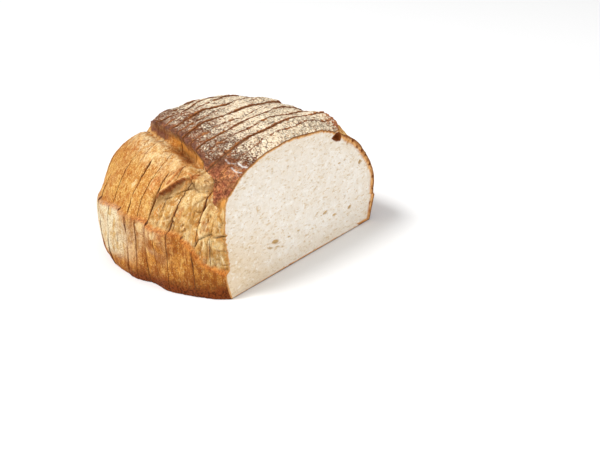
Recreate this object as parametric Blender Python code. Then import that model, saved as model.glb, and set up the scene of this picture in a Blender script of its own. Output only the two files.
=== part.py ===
"""A crusty farmhouse loaf, machine sliced, its slices still standing together.

The loaf lies along Y.  Its cut face looks along -Y and its uncut heel along +Y.
Each cross section is drawn about a core line that runs through the crumb, as a
radius for every angle: 0 degrees points right, 90 up and 180 left.  A dark lid of
crust lies over the top, and the paler side walls have burst open under its edges.
Lengths are in metres, angles in degrees.
"""

import math

import bmesh
import bpy
import numpy as np

# Slicing
SLICE_PITCH = 0.011
SLICE_COUNT = 13
CUT_GAP = 0.0004
SLICE_SHIFT = 0.0003        # how far a slice may stand out of line

# Whole loaf, measured from the cut face
LOAF_LENGTH = 0.172
HALF_WIDTH = 0.107
WIDEST_Y = 0.073
FRONT_REACH = 0.120         # the uncut loaf reached this far ahead of its widest place
FRONT_POWER = 2.5
END_POWER = 2.4
HEEL_CROWN_POWER = 2.6
CROWN_HEIGHT = 0.111
CROWN_Y = 0.057
CROWN_REACH = 0.1115
CROWN_POWER = 3.8
CORE_HEIGHT = 0.033         # the core line, level with the widest place of the sides
CORE_DRIFT = 0.006          # the cut end leans this far to the right
CORE_DRIFT_REACH = 0.066
BELLY_DEPTH = 0.060         # the foot of the section, cut off flat where the loaf rests
BELLY_POWER = 4.4
BELLY_FALL = 1.2

# Side walls and lid, as the powers of their rounded outlines
WALL_POWER = 1.9
FRONT_WALL_SWELL = 1.9      # the left wall stands up straighter at the cut face
FRONT_WALL_REACH = 0.008
RIGHT_WALL_POWER = 1.70
RIGHT_WALL_REACH = 0.022
LID_POWER_FRONT = 3.7
LID_POWER_FALL = 11.5       # loss of power for each metre from the cut face
RIGHT_LID_POWER = 2.22
RIGHT_LID_LOSS = 0.55
LID_THICKNESS = 0.0015
LID_EDGE_WIDTH = 0.0032

# Edges of the lid, as angles round the core line
LID_LEFT_ANGLE = 116.5
LID_LEFT_SPREAD = 36.0
LID_LEFT_REACH = 0.070
LID_TIP_ANGLE = 6.0         # the lid's left edge reaches further down beside the cut face
LID_TIP_Y = 0.0085
LID_TIP_REACH = 0.0035
LID_RIGHT_ANGLE = 50.0
LID_RIGHT_SPREAD = 5.0
LID_RIGHT_REACH = 0.025
LID_ROUNDING_Y = 0.112      # the lid narrows from here
LID_END_Y = 0.152           # to nothing here
LID_FADE_Y = 0.128          # and sinks into the crust from here
ARC_RADIUS = 0.085          # turns angles on the crust into lengths

# Relief of the crust
FURROW_DEPTH = 0.0042       # the torn hollow under the lid's left edge
FURROW_OFFSET = 0.0065
FURROW_WIDTH = 0.0042
FURROW_SWELL = 0.7
FURROW_SWELL_Y = 0.062
FURROW_SWELL_REACH = 0.024
EAR_HEIGHT = 0.0026         # a torn flap of the left wall
EAR_HOLLOW = 0.0020
EAR_WIDTH = 0.0024
EAR_START_Y = 0.046
EAR_END_Y = 0.067
EAR_START_ANGLE = 145.5
EAR_TURN = 15.0
EAR_SLANT = 0.78
BAND_HEIGHT = 0.053         # rim of the lower band of unburst crust
BAND_DIP = 0.014            # the rim falls towards the cut face
BAND_DIP_REACH = 0.033
BAND_STEP = 0.016           # and steps down beside it
BAND_STEP_Y = 0.0195
BAND_STEP_REACH = 0.003
BAND_FALL = 0.0055          # and falls a little towards the heel
BAND_FALL_Y = 0.100
BAND_FALL_REACH = 0.050
BAND_THICKNESS = 0.0028
BAND_SWELL = 0.0008
BAND_SWELL_Y = 0.118
BAND_SWELL_REACH = 0.030
BAND_SOFTNESS = 0.0022
BAND_FADE = 0.020
RIGHT_EAR_HEIGHT = 0.0022
RIGHT_EAR_REACH = 0.018
FLAP_LIFT = 0.0055          # the lid's right corner, torn up just behind the cut face
FLAP_WIDTH = 0.009
FLAP_Y = 0.006
FLAP_REACH = 0.006
DOME_SWELL = 0.0026         # the heel is fuller on its left
DOME_ANGLE = 143.0
DOME_Y = 0.148
FOOT_SWELL = 0.0026
FOOT_ANGLE = 185.0
FOOT_Y = 0.134
NOTCH_DEPTH = 0.0075        # and falls away behind the lid's far end
NOTCH_ANGLE = 115.0
NOTCH_Y = 0.150
RIM_UNDERCUT = 0.0030
RIM_UNDERCUT_Y = 0.138
CUT_EDGE_REACH = 0.010      # how far the crust's sag at the cut reaches back
TIP_LIFT = 0.0035
TIP_ANGLE = 153.0
BUMP_HEIGHT = 0.0007

# Facets: the mesh lines follow the lid's edges
RIGHT_WALL_SEGMENTS = 26
LID_SEGMENTS = 26
LEFT_WALL_SEGMENTS = 36
BASE_SEGMENTS = 12
ALL_SEGMENTS = RIGHT_WALL_SEGMENTS + LID_SEGMENTS + LEFT_WALL_SEGMENTS + BASE_SEGMENTS
EDGE_CROWDING = 0.45        # how much closer the lines stand beside the lid's edges
NARROWEST_LID = 0.35        # the lines stop following the lid where it is this share of its width
BASE_ANGLE = 24.0           # the base's edges, below the core line on either side
SLICE_RINGS = 3
HEEL_RINGS = 11
HEEL_TIP = 0.0003           # the last ring stands this far short of the tip

CRUST_COLOUR = (0.52, 0.27, 0.11)
CRUMB_COLOUR = (0.86, 0.77, 0.62)


def smooth(value):
    """An S curve from 0 to 1."""
    value = np.clip(value, 0.0, 1.0)
    return value * value * (3.0 - 2.0 * value)


def hump(distance, width):
    """A bell curve, 1 in its middle."""
    return np.exp(-(distance / width) ** 2)


def rounded(distance, reach, power):
    """What is left of a rounded outline at a distance from its widest place."""
    share = np.clip(np.abs(distance) / reach, 0.0, 1.0)
    return (1.0 - share ** power) ** (1.0 / power)


def plan_share(y):
    """Half width of the loaf at y, as a share of its widest."""
    front = rounded(y - WIDEST_Y, FRONT_REACH, FRONT_POWER)
    end = rounded(y - WIDEST_Y, LOAF_LENGTH - WIDEST_Y, END_POWER)
    return np.where(y < WIDEST_Y, front, end)


def crown_rise(y):
    """Height of the crown above the core line at y."""
    full = CROWN_HEIGHT - CORE_HEIGHT
    front = CROWN_HEIGHT * rounded(y - CROWN_Y, CROWN_REACH, CROWN_POWER) - CORE_HEIGHT
    end = full * rounded(y - CROWN_Y, LOAF_LENGTH - CROWN_Y, HEEL_CROWN_POWER)
    return np.where(y < CROWN_Y, front, end)


def core_x(y):
    """Where the core line stands from side to side."""
    return CORE_DRIFT * np.clip(1.0 - y / CORE_DRIFT_REACH, 0.0, 1.0) ** 2


def lid_edges(y, narrowest=0.0):
    """Angles of the lid's left and right edges at y."""
    left = LID_LEFT_ANGLE + LID_LEFT_SPREAD * np.exp(-y / LID_LEFT_REACH)
    left = left + LID_TIP_ANGLE * hump(y - LID_TIP_Y, LID_TIP_REACH)
    right = LID_RIGHT_ANGLE + LID_RIGHT_SPREAD * np.exp(-y / LID_RIGHT_REACH)
    past = np.clip((y - LID_ROUNDING_Y) / (LID_END_Y - LID_ROUNDING_Y), 0.0, 1.0)
    narrowing = np.maximum(np.sqrt(1.0 - past ** 2), narrowest)
    return 90.0 + (left - 90.0) * narrowing, 90.0 + (right - 90.0) * narrowing


def oval(cosine, sine, half_width, height, power):
    """Radius of a rounded outline in one direction."""
    across = np.abs(cosine / half_width) ** power
    along = np.abs(sine / height) ** power
    return (across + along) ** (-1.0 / power)


def ear_relief(angle, y):
    """A torn flap on the left wall, with the hollow that it leaves below it."""
    along = (y - EAR_START_Y) / (EAR_END_Y - EAR_START_Y)
    line = EAR_START_ANGLE + EAR_TURN * np.clip(along, -0.2, 1.2)
    below = np.radians(angle - line) * ARC_RADIUS * EAR_SLANT
    window = smooth(along * 5.0) * smooth((1.0 - along) * 4.0)
    flap = EAR_HEIGHT * hump(below, EAR_WIDTH)
    hollow = EAR_HOLLOW * hump(below - 2.0 * EAR_WIDTH, EAR_WIDTH)
    return window * (flap - hollow)


def cut_edge_sag(angle, y):
    """How far the crust sags just behind the cut face."""
    sag = 0.0052 * hump(angle - 130.0, 14.0) + 0.0030 * hump(angle - 97.0, 22.0)
    sag = sag + 0.0044 * hump(angle - 62.0, 13.0) - TIP_LIFT * hump(angle - TIP_ANGLE, 4.0)
    return sag * np.exp(-y / CUT_EDGE_REACH)


def heel_relief(angle, y, past_left):
    """The fuller left of the heel, and its fall behind the lid's far end."""
    dome = DOME_SWELL * hump(angle - DOME_ANGLE, 14.0) * hump(y - DOME_Y, 0.022)
    notch = NOTCH_DEPTH * hump(angle - NOTCH_ANGLE, 9.0) * hump(y - NOTCH_Y, 0.014)
    undercut = RIM_UNDERCUT * hump(past_left - 0.008, 0.006) * hump(y - RIM_UNDERCUT_Y, 0.018)
    return dome - notch - undercut


def band_rim(y):
    """Height of the lower band's rim at y."""
    rim = BAND_HEIGHT - BAND_DIP * np.exp(-y / BAND_DIP_REACH)
    rim = rim - BAND_FALL * smooth((y - BAND_FALL_Y) / BAND_FALL_REACH)
    return rim - BAND_STEP / (1.0 + np.exp((y - BAND_STEP_Y) / BAND_STEP_REACH))


def bumps(angle, y):
    """Broad uneven swellings of the crust."""
    turn = np.radians(angle)
    return BUMP_HEIGHT * (np.sin(7.0 * turn + 95.0 * y) + np.sin(11.0 * turn - 150.0 * y + 1.3)
                          + np.sin(3.0 * turn + 210.0 * y + 0.5))


def section(angle, y):
    """Points of the crust's outline at these angles and places along the loaf."""
    turn = np.radians(angle)
    cosine = np.cos(turn)
    sine = np.sin(turn)
    left = cosine < 0.0
    share = plan_share(y)
    half_width = HALF_WIDTH * share
    rise = crown_rise(y)

    wall_left = WALL_POWER + FRONT_WALL_SWELL * hump(y, FRONT_WALL_REACH)
    wall_right = WALL_POWER + (RIGHT_WALL_POWER - WALL_POWER) * (1.0 - smooth(y / RIGHT_WALL_REACH))
    wall = oval(cosine, sine, half_width, rise, np.where(left, wall_left, wall_right))
    lid_left = LID_POWER_FRONT - LID_POWER_FALL * y
    lid_right = RIGHT_LID_POWER - RIGHT_LID_LOSS * (1.0 - smooth(y / RIGHT_WALL_REACH))
    lid = LID_THICKNESS + oval(cosine, sine, half_width, rise, np.where(left, lid_left, lid_right))

    left_edge, right_edge = lid_edges(y)
    past_left = np.radians(angle - left_edge) * ARC_RADIUS
    past_right = np.radians(right_edge - angle) * ARC_RADIUS
    on_lid = smooth(0.5 - past_left / LID_EDGE_WIDTH) * smooth(0.5 - past_right / LID_EDGE_WIDTH)
    on_lid = on_lid * (1.0 - smooth((y - LID_FADE_Y) / (LID_END_Y - LID_FADE_Y)))
    upper = wall + (lid - wall) * on_lid

    end_fade = smooth((LOAF_LENGTH - y) / 0.05)
    furrow = hump(past_left - FURROW_OFFSET, FURROW_WIDTH) + 0.7 * hump(past_right - FURROW_OFFSET, FURROW_WIDTH)
    furrow = furrow * (1.0 + FURROW_SWELL * hump(y - FURROW_SWELL_Y, FURROW_SWELL_REACH))
    upper = upper - FURROW_DEPTH * furrow * smooth((y - 0.008) / 0.030) * end_fade
    upper = upper + ear_relief(angle, y) + heel_relief(angle, y, past_left) - cut_edge_sag(angle, y)
    upper = upper + RIGHT_EAR_HEIGHT * hump(past_right + 0.003, 0.004) * hump(y, RIGHT_EAR_REACH)
    upper = upper + FLAP_LIFT * hump(past_right - 0.003, FLAP_WIDTH) * hump(y - FLAP_Y, FLAP_REACH)

    lower = oval(cosine, sine, half_width, BELLY_DEPTH * share ** BELLY_FALL, BELLY_POWER)
    radius = np.where(sine >= 0.0, upper, lower) + bumps(angle, y) * end_fade
    radius = radius + FOOT_SWELL * hump(angle - FOOT_ANGLE, 9.0) * hump(y - FOOT_Y, 0.030)

    above_rim = CORE_HEIGHT + radius * sine - band_rim(y)
    in_band = smooth(0.5 - above_rim / BAND_SOFTNESS)
    ledge = BAND_THICKNESS + BAND_SWELL * hump(y - BAND_SWELL_Y, BAND_SWELL_REACH) * left
    radius = radius + ledge * in_band * smooth(1.0 + above_rim / BAND_FADE) * end_fade

    depth = np.maximum(-sine, 1e-6)
    on_base = radius * depth >= CORE_HEIGHT
    radius = np.where(on_base, CORE_HEIGHT / depth, radius)
    x = core_x(y) + radius * cosine
    z = np.where(on_base, 0.0, CORE_HEIGHT + radius * sine)
    return x, z


def crowded(share):
    """Draws values between 0 and 1 closer to both ends."""
    return share - EDGE_CROWDING * np.sin(math.tau * share) / math.tau


def angle_of_line(line, y):
    """Angle of a numbered mesh line at y: many lines on the crust, few along the base."""
    left, right = lid_edges(y, NARROWEST_LID)
    start = np.full_like(y, -BASE_ANGLE)
    end = np.full_like(y, 180.0 + BASE_ANGLE)
    spans = [(RIGHT_WALL_SEGMENTS, start, right), (LID_SEGMENTS, right, left),
             (LEFT_WALL_SEGMENTS, left, end), (BASE_SEGMENTS, end, start + 360.0)]
    angle = start.copy()
    first = 0
    for count, low, high in spans:
        share = np.clip((line - first) / count, 0.0, 1.0)
        angle = np.where(line >= first, low + (high - low) * crowded(share), angle)
        first += count
    return angle


def shape_piece(name, start_y, end_y, rings, shift_x, is_heel, materials):
    """Makes one closed piece of the loaf between two places along it."""
    mesh = bpy.data.meshes.new(name)
    form = bmesh.new()
    bmesh.ops.create_cone(form, cap_ends=True, cap_tris=False, depth=1.0,
                          segments=ALL_SEGMENTS, radius1=1.0, radius2=1.0)
    for ring in range(1, rings):
        everything = form.verts[:] + form.edges[:] + form.faces[:]
        bmesh.ops.bisect_plane(form, geom=everything, dist=1e-6, plane_no=(0.0, 0.0, 1.0),
                               plane_co=(0.0, 0.0, 0.5 - ring / rings))

    flat = np.array([vertex.co for vertex in form.verts])
    line = np.rint(np.arctan2(flat[:, 1], flat[:, 0]) / math.tau * ALL_SEGMENTS) % ALL_SEGMENTS
    along = 0.5 - flat[:, 2]
    if is_heel:
        along = np.sin(along * math.pi / 2.0) * (1.0 - HEEL_TIP / (end_y - start_y))
    y = start_y + (end_y - start_y) * along
    x, z = section(angle_of_line(line, y), y)
    for vertex, point in zip(form.verts, zip(x + shift_x, y, z)):
        vertex.co = point
    if is_heel:
        tip = max(form.faces, key=lambda face: face.calc_center_median().y)
        crown = bmesh.ops.poke(form, faces=[tip])["verts"][0]
        crown.co.y = end_y

    for face in form.faces:
        is_cut = abs(face.normal.y) > 0.999 and len(face.verts) > 4
        face.material_index = 1 if is_cut else 0
    form.to_mesh(mesh)
    form.free()
    for material in materials:
        mesh.materials.append(material)
    mesh.shade_smooth()
    mesh.set_sharp_from_angle(angle=math.radians(40.0))
    return bpy.data.objects.new(name, mesh)


def bread_material(name, colour):
    """A plain matt material."""
    material = bpy.data.materials.new(name)
    material.use_nodes = True
    shader = material.node_tree.nodes["Principled BSDF"]
    shader.inputs["Base Color"].default_value = (*colour, 1.0)
    shader.inputs["Roughness"].default_value = 0.8
    shader.inputs["Metallic"].default_value = 0.0
    return material


def centre_on_base(pieces):
    """Puts the origin in the middle of the loaf's footprint."""
    points = np.array([vertex.co for piece in pieces for vertex in piece.data.vertices])
    middle = (points.min(axis=0) + points.max(axis=0)) / 2.0
    for piece in pieces:
        for vertex in piece.data.vertices:
            vertex.co.x -= middle[0]
            vertex.co.y -= middle[1]


def main():
    for old in list(bpy.data.objects):
        bpy.data.objects.remove(old, do_unlink=True)
    loaf = bpy.data.collections.new("farmhouse_loaf")
    bpy.context.scene.collection.children.link(loaf)
    materials = [bread_material("crust", CRUST_COLOUR), bread_material("crumb", CRUMB_COLOUR)]

    pieces = []
    for index in range(SLICE_COUNT):
        start_y = index * SLICE_PITCH + (CUT_GAP / 2.0 if index else 0.0)
        end_y = (index + 1) * SLICE_PITCH - CUT_GAP / 2.0
        shift_x = SLICE_SHIFT * math.sin(2.4 * index)
        name = f"slice_{index + 1:02d}"
        pieces.append(shape_piece(name, start_y, end_y, SLICE_RINGS, shift_x, False, materials))
    heel_start = SLICE_COUNT * SLICE_PITCH + CUT_GAP / 2.0
    pieces.append(shape_piece("heel", heel_start, LOAF_LENGTH, HEEL_RINGS, 0.0, True, materials))

    centre_on_base(pieces)
    for piece in pieces:
        loaf.objects.link(piece)


main()
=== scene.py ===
import math

import bmesh
import bpy
import numpy as np
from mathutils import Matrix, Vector


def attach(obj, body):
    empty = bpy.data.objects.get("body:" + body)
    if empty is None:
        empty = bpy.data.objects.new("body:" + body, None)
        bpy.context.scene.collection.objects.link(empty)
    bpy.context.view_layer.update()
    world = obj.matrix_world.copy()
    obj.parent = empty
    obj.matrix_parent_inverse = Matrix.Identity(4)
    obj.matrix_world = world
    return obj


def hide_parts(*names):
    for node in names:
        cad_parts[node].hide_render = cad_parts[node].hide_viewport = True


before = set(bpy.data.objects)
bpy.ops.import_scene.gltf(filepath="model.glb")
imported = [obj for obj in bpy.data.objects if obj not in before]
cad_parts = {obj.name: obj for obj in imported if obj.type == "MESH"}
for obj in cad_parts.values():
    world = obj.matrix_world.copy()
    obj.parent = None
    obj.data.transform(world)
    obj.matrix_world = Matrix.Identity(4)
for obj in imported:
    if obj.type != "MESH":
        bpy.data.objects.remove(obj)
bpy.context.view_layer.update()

# ---------------- the loaf's sizes
# Metres and degrees.  A section is drawn round a core line that runs along the loaf:
# 0 degrees points right, 90 up and 180 left.  y counts from the cut face.
SLICE_PITCH = 0.011
SLICE_COUNT = 13
CUT_GAP = 0.0004
SLICE_SHIFT = 0.0003
LOAF_LENGTH = 0.172
HALF_WIDTH = 0.107
WIDEST_Y = 0.073
FRONT_REACH = 0.120
FRONT_POWER = 2.5
END_POWER = 2.4
HEEL_CROWN_POWER = 2.6
CROWN_HEIGHT = 0.111
CROWN_Y = 0.057
CROWN_REACH = 0.1115
CROWN_POWER = 3.8
CORE_HEIGHT = 0.033
CORE_DRIFT = 0.006
CORE_DRIFT_REACH = 0.066
BELLY_DEPTH = 0.060
BELLY_POWER = 4.4
BELLY_FALL = 1.2
WALL_POWER = 1.9
FRONT_WALL_SWELL = 1.9
FRONT_WALL_REACH = 0.008
RIGHT_WALL_POWER = 1.70
RIGHT_WALL_REACH = 0.022
LID_POWER_FRONT = 3.7
LID_POWER_FALL = 11.5
RIGHT_LID_POWER = 2.22
RIGHT_LID_LOSS = 0.55
LID_THICKNESS = 0.0015
LID_EDGE_WIDTH = 0.0032
LID_LEFT_ANGLE = 116.5
LID_LEFT_SPREAD = 36.0
LID_LEFT_REACH = 0.070
LID_TIP_ANGLE = 6.0
LID_TIP_Y = 0.0085
LID_TIP_REACH = 0.0035
LID_RIGHT_ANGLE = 50.0
LID_RIGHT_SPREAD = 5.0
LID_RIGHT_REACH = 0.025
LID_ROUNDING_Y = 0.112
LID_END_Y = 0.152
LID_FADE_Y = 0.128
ARC_RADIUS = 0.085
FURROW_DEPTH = 0.0042
FURROW_OFFSET = 0.0065
FURROW_WIDTH = 0.0042
FURROW_SWELL = 0.7
FURROW_SWELL_Y = 0.062
FURROW_SWELL_REACH = 0.024
EAR_HEIGHT = 0.0026
EAR_HOLLOW = 0.0020
EAR_WIDTH = 0.0024
EAR_START_Y = 0.046
EAR_END_Y = 0.067
EAR_START_ANGLE = 145.5
EAR_TURN = 15.0
EAR_SLANT = 0.78
BAND_HEIGHT = 0.053
BAND_DIP = 0.014
BAND_DIP_REACH = 0.033
BAND_STEP = 0.016
BAND_STEP_Y = 0.0195
BAND_STEP_REACH = 0.003
BAND_THICKNESS = 0.0028
BAND_FALL = 0.0055
BAND_FALL_Y = 0.100
BAND_FALL_REACH = 0.050
BAND_SWELL = 0.0008
BAND_SWELL_Y = 0.118
BAND_SWELL_REACH = 0.030
BAND_SOFTNESS = 0.0022
BAND_FADE = 0.020
RIGHT_EAR_HEIGHT = 0.0022
RIGHT_EAR_REACH = 0.018
FLAP_LIFT = 0.0055
FLAP_WIDTH = 0.009
FLAP_Y = 0.006
FLAP_REACH = 0.006
DOME_SWELL = 0.0026
DOME_ANGLE = 143.0
DOME_Y = 0.148
FOOT_SWELL = 0.0026
FOOT_ANGLE = 185.0
FOOT_Y = 0.134
NOTCH_DEPTH = 0.0075
NOTCH_ANGLE = 115.0
NOTCH_Y = 0.150
RIM_UNDERCUT = 0.0030
RIM_UNDERCUT_Y = 0.138
CUT_EDGE_REACH = 0.010
TIP_LIFT = 0.0035
TIP_ANGLE = 153.0
BUMP_HEIGHT = 0.0007
BASE_ANGLE = 24.0

# ---------------- finer sizes
RIGHT_WALL_LINES = 210
LID_LINES = 250
LEFT_WALL_LINES = 290
BASE_LINES = 60
ALL_LINES = RIGHT_WALL_LINES + LID_LINES + LEFT_WALL_LINES + BASE_LINES
SLICE_RINGS = 24
FURROW_END_Y = 0.134
FURROW_END_REACH = 0.018
HEEL_RINGS = 84
HEEL_TIP = 0.0001
NARROWEST_LID = 0.35
FACE_RINGS = 17
FACE_COLUMNS = 380
FACE_ROWS = 200
FACE_CENTRE_HEIGHT = 0.05
FACE_RIGHT_CORNER = 38.0
FACE_LEFT_CORNER = 142.0
RIND_INSET = 0.045
CAP_CENTRE_HEIGHT = 0.045
RANK_STEP = 1000000
EDGE_GAP = 0.00003
GAPE_REACH = 0.00025
RING_CROWDING = 0.75
SHARP_ANGLE = 60.0
TORN_END_Y = 0.07
SPOT_LENGTH = 1.5
PLATE_SIZE = 0.0036
BUBBLE_SIZE = 0.0021
SLICE_TILT = 0.001
SLICE_STAND = 0.0003
FLOUR_LEAST = 0.38
FLOUR_RISE = 0.67
FLOOR_HALF_SIZE = 6.0
FLOOR_DROP = 0.0003


# ---------------- helpers for forms
def smooth(value):
    """An S curve from 0 to 1."""
    value = np.clip(value, 0.0, 1.0)
    return value * value * (3.0 - 2.0 * value)


def hump(distance, width):
    """A bell curve, 1 in its middle."""
    return np.exp(-(distance / width) ** 2)


def most(*values):
    """The largest of several values at each point."""
    return np.maximum.reduce(values)


def stacked(first, second, third=0.0):
    """Points from their coordinates."""
    return np.stack(np.broadcast_arrays(first, second, third), axis=1)


def rounded(distance, reach, power):
    """What is left of a rounded outline at a distance from its widest place."""
    share = np.clip(np.abs(distance) / reach, 0.0, 1.0)
    return (1.0 - share ** power) ** (1.0 / power)


def lattice_value(cell, seed):
    """A steady draw between -1 and 1 for each whole-numbered cell."""
    mixed = cell[..., 0] * 73856093 ^ cell[..., 1] * 19349663 ^ cell[..., 2] * 83492791 ^ seed * 40503
    mixed = (mixed ^ (mixed >> 13)) * 1274126177 & 0x7FFFFFFF
    mixed = mixed ^ (mixed >> 15)
    return (mixed & 0xFFFF) / 32767.5 - 1.0


def cloud(points, size, seed=1):
    """Soft noise between about -1 and 1 whose lumps are this size."""
    place = points / size
    base = np.floor(place).astype(np.int64)
    blend = place - base
    blend = blend * blend * (3.0 - 2.0 * blend)
    total = np.zeros(len(points))
    for corner in range(8):
        step = np.array([corner & 1, corner >> 1 & 1, corner >> 2 & 1])
        weight = np.prod(np.where(step == 1, blend, 1.0 - blend), axis=1)
        total += weight * lattice_value(base + step, seed)
    return total


def rough(points, size, seed=1, octaves=3):
    """Noise with finer noise on it."""
    total = np.zeros(len(points))
    for octave in range(octaves):
        total += cloud(points, size / 2.1 ** octave, seed + 7 * octave) / 1.9 ** octave
    return total


def creased(points, size, seed, width):
    """Thin winding lines, 1 along each line."""
    return 1.0 - smooth(np.abs(cloud(points, size, seed)) / width)


def cells(points, size, seed=1):
    """Distances to the nearest and next scattered seed point, and a draw for the nearest."""
    place = points / size
    base = np.floor(place).astype(np.int64)
    nearest = np.full(len(points), 9.0)
    second = np.full(len(points), 9.0)
    draw = np.zeros(len(points))
    for code in range(27):
        cell = base + np.array([code % 3 - 1, code // 3 % 3 - 1, code // 9 - 1])
        jitter = np.stack([lattice_value(cell, seed + axis) for axis in range(3)], axis=1)
        distance = np.linalg.norm(cell + 0.5 + 0.45 * jitter - place, axis=1)
        closer = distance < nearest
        second = np.where(closer, nearest, np.minimum(second, distance))
        draw = np.where(closer, lattice_value(cell, seed + 5), draw)
        nearest = np.where(closer, distance, nearest)
    return nearest, second, draw


# ---------------- form of the loaf
def slice_shift(index):
    """How far a slice stands to one side; the heel doesn't."""
    return SLICE_SHIFT * math.sin(2.4 * index) * (index < SLICE_COUNT)


def plan_share(y):
    """Half width of the loaf at y, as a share of its widest."""
    front = rounded(y - WIDEST_Y, FRONT_REACH, FRONT_POWER)
    end = rounded(y - WIDEST_Y, LOAF_LENGTH - WIDEST_Y, END_POWER)
    return np.where(y < WIDEST_Y, front, end)


def crown_rise(y):
    """Height of the crown above the core line at y."""
    full = CROWN_HEIGHT - CORE_HEIGHT
    front = CROWN_HEIGHT * rounded(y - CROWN_Y, CROWN_REACH, CROWN_POWER) - CORE_HEIGHT
    end = full * rounded(y - CROWN_Y, LOAF_LENGTH - CROWN_Y, HEEL_CROWN_POWER)
    return np.where(y < CROWN_Y, front, end)


def core_x(y):
    """Where the core line stands from side to side."""
    return CORE_DRIFT * np.clip(1.0 - y / CORE_DRIFT_REACH, 0.0, 1.0) ** 2


def lid_edges(y, narrowest=0.0):
    """Angles of the lid's left and right edges at y."""
    left = LID_LEFT_ANGLE + LID_LEFT_SPREAD * np.exp(-y / LID_LEFT_REACH)
    left = left + LID_TIP_ANGLE * hump(y - LID_TIP_Y, LID_TIP_REACH)
    right = LID_RIGHT_ANGLE + LID_RIGHT_SPREAD * np.exp(-y / LID_RIGHT_REACH)
    past = np.clip((y - LID_ROUNDING_Y) / (LID_END_Y - LID_ROUNDING_Y), 0.0, 1.0)
    narrowing = np.maximum(np.sqrt(1.0 - past ** 2), narrowest)
    return 90.0 + (left - 90.0) * narrowing, 90.0 + (right - 90.0) * narrowing


def oval(cosine, sine, half_width, height, power):
    """Radius of a rounded outline in one direction."""
    across = np.abs(cosine / half_width) ** power
    along = np.abs(sine / height) ** power
    return (across + along) ** (-1.0 / power)


def ear_line(y):
    """Angle of the torn flap's crest at y."""
    along = np.clip((y - EAR_START_Y) / (EAR_END_Y - EAR_START_Y), -0.2, 1.2)
    return EAR_START_ANGLE + EAR_TURN * along


def ear_window(y):
    """1 along the torn flap and 0 past its ends."""
    along = (y - EAR_START_Y) / (EAR_END_Y - EAR_START_Y)
    return smooth(along * 5.0) * smooth((1.0 - along) * 4.0)


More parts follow.
